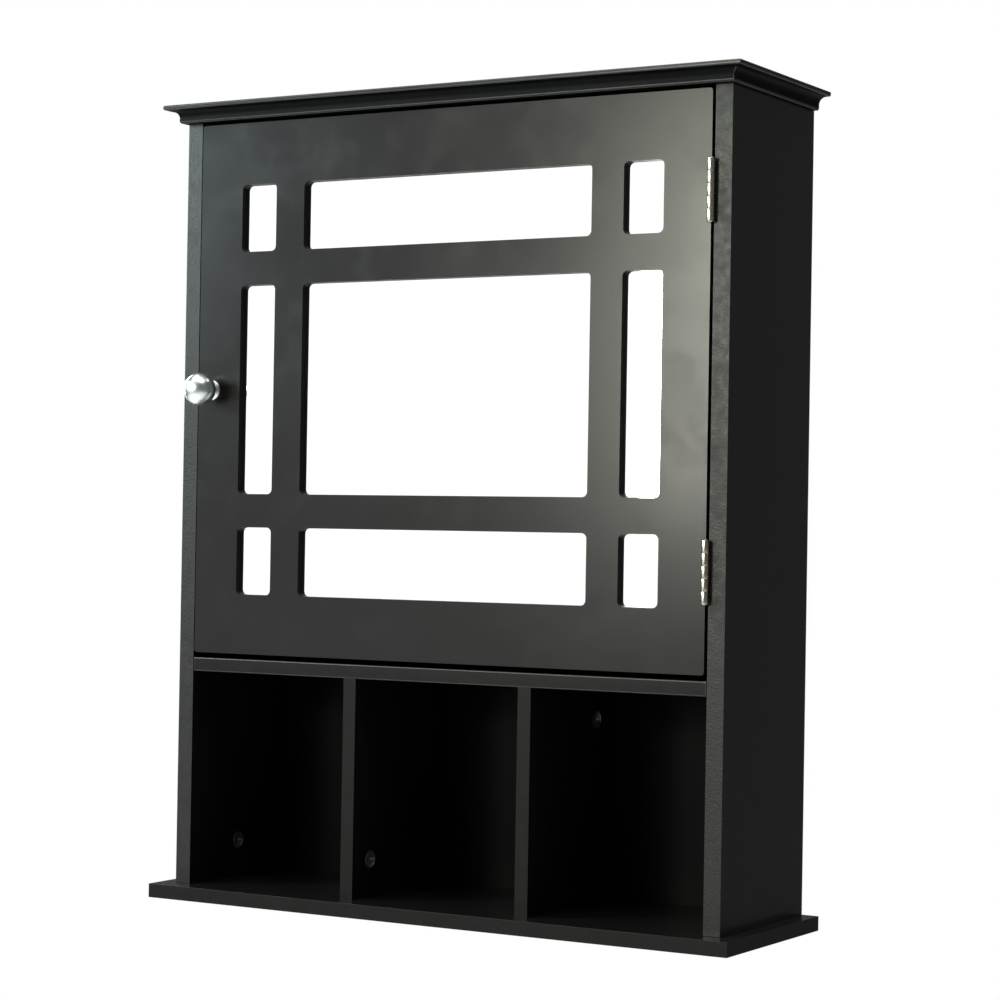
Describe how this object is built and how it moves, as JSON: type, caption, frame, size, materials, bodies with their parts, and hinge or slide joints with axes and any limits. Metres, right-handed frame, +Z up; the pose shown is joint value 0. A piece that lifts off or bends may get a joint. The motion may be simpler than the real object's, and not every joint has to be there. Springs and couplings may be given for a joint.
{
  "type": "medicine cabinet with mirror",
  "caption": "Wall-hung black medicine cabinet: mirror door behind a square lattice, moulded crown, open cubbies below, ball knob.",
  "frame": {"origin": "middle of the hanging rail's rear face, on the wall plane and the centre line, at the height of the wall screws", "axes": "+Z up, +Y into the wall, the door faces -Y, +X towards the hinges"},
  "size_m": [0.56, 0.1885, 0.695],
  "materials": {
    "black_paint": "satin black paint on MDF",
    "hardboard": "raw hardboard, dull brown",
    "mirror": "silvered float glass",
    "chrome": "polished chrome plating",
    "nickel_steel": "bright nickel plating, slightly warm",
    "zinc_plated_steel": "dull zinc plating",
    "plain_steel": "plain turned steel",
    "black_plastic": "moulded matt black plastic",
    "magnet_block": "sintered magnet between steel plates"
  },
  "bodies": {
    "cabinet": {"crown_board": "black_paint", "bottom_board": "black_paint", "fixed_shelf": "black_paint", "side_panel_left": "black_paint", "side_panel_right": "black_paint", "divider_left": "black_paint", "divider_right": "black_paint", "hanging_rail": "black_paint", "adjustable_shelf": "black_paint", "back_panel": "hardboard", "shelf_pin_left_front": "nickel_steel", "shelf_pin_left_rear": "nickel_steel", "shelf_pin_right_front": "nickel_steel", "shelf_pin_right_rear": "nickel_steel", "cam_left_bottom": "zinc_plated_steel", "cam_left_top": "zinc_plated_steel", "cam_right_bottom": "zinc_plated_steel", "cam_right_top": "zinc_plated_steel", "cam_divider_left": "zinc_plated_steel", "cam_divider_right": "zinc_plated_steel", "cam_bolt_left_bottom": "plain_steel", "cam_bolt_left_top": "plain_steel", "cam_bolt_right_bottom": "plain_steel", "cam_bolt_right_top": "plain_steel", "cam_bolt_divider_left": "plain_steel", "cam_bolt_divider_right": "plain_steel", "hinge_top_cabinet_leaf": "nickel_steel", "hinge_bottom_cabinet_leaf": "nickel_steel", "hinge_top_pin": "nickel_steel", "hinge_bottom_pin": "nickel_steel", "hinge_top_cabinet_screw_upper": "nickel_steel", "hinge_top_cabinet_screw_lower": "nickel_steel", "hinge_bottom_cabinet_screw_upper": "nickel_steel", "hinge_bottom_cabinet_screw_lower": "nickel_steel", "catch_housing": "black_plastic", "catch_magnet": "magnet_block", "catch_screw_1": "zinc_plated_steel", "catch_screw_2": "zinc_plated_steel"},
    "door": {"door_frame": "black_paint", "mirror_glass": "mirror", "mirror_backing": "hardboard", "backing_screw_1": "zinc_plated_steel", "backing_screw_2": "zinc_plated_steel", "backing_screw_3": "zinc_plated_steel", "backing_screw_4": "zinc_plated_steel", "backing_screw_5": "zinc_plated_steel", "backing_screw_6": "zinc_plated_steel", "backing_screw_7": "zinc_plated_steel", "backing_screw_8": "zinc_plated_steel", "door_knob": "chrome", "knob_screw": "zinc_plated_steel", "hinge_top_door_leaf": "nickel_steel", "hinge_bottom_door_leaf": "nickel_steel", "hinge_top_door_screw_upper": "nickel_steel", "hinge_top_door_screw_lower": "nickel_steel", "hinge_bottom_door_screw_upper": "nickel_steel", "hinge_bottom_door_screw_lower": "nickel_steel", "strike_plate": "zinc_plated_steel", "strike_screw": "zinc_plated_steel"}
  },
  "joints": [
    {"name": "door_hinge", "type": "hinge", "parent": "cabinet", "child": "door", "pos_m": [0.24865, -0.1595, -0.2035], "axis": [0, 0, 1], "range_deg": [0, 180]}
  ]
}
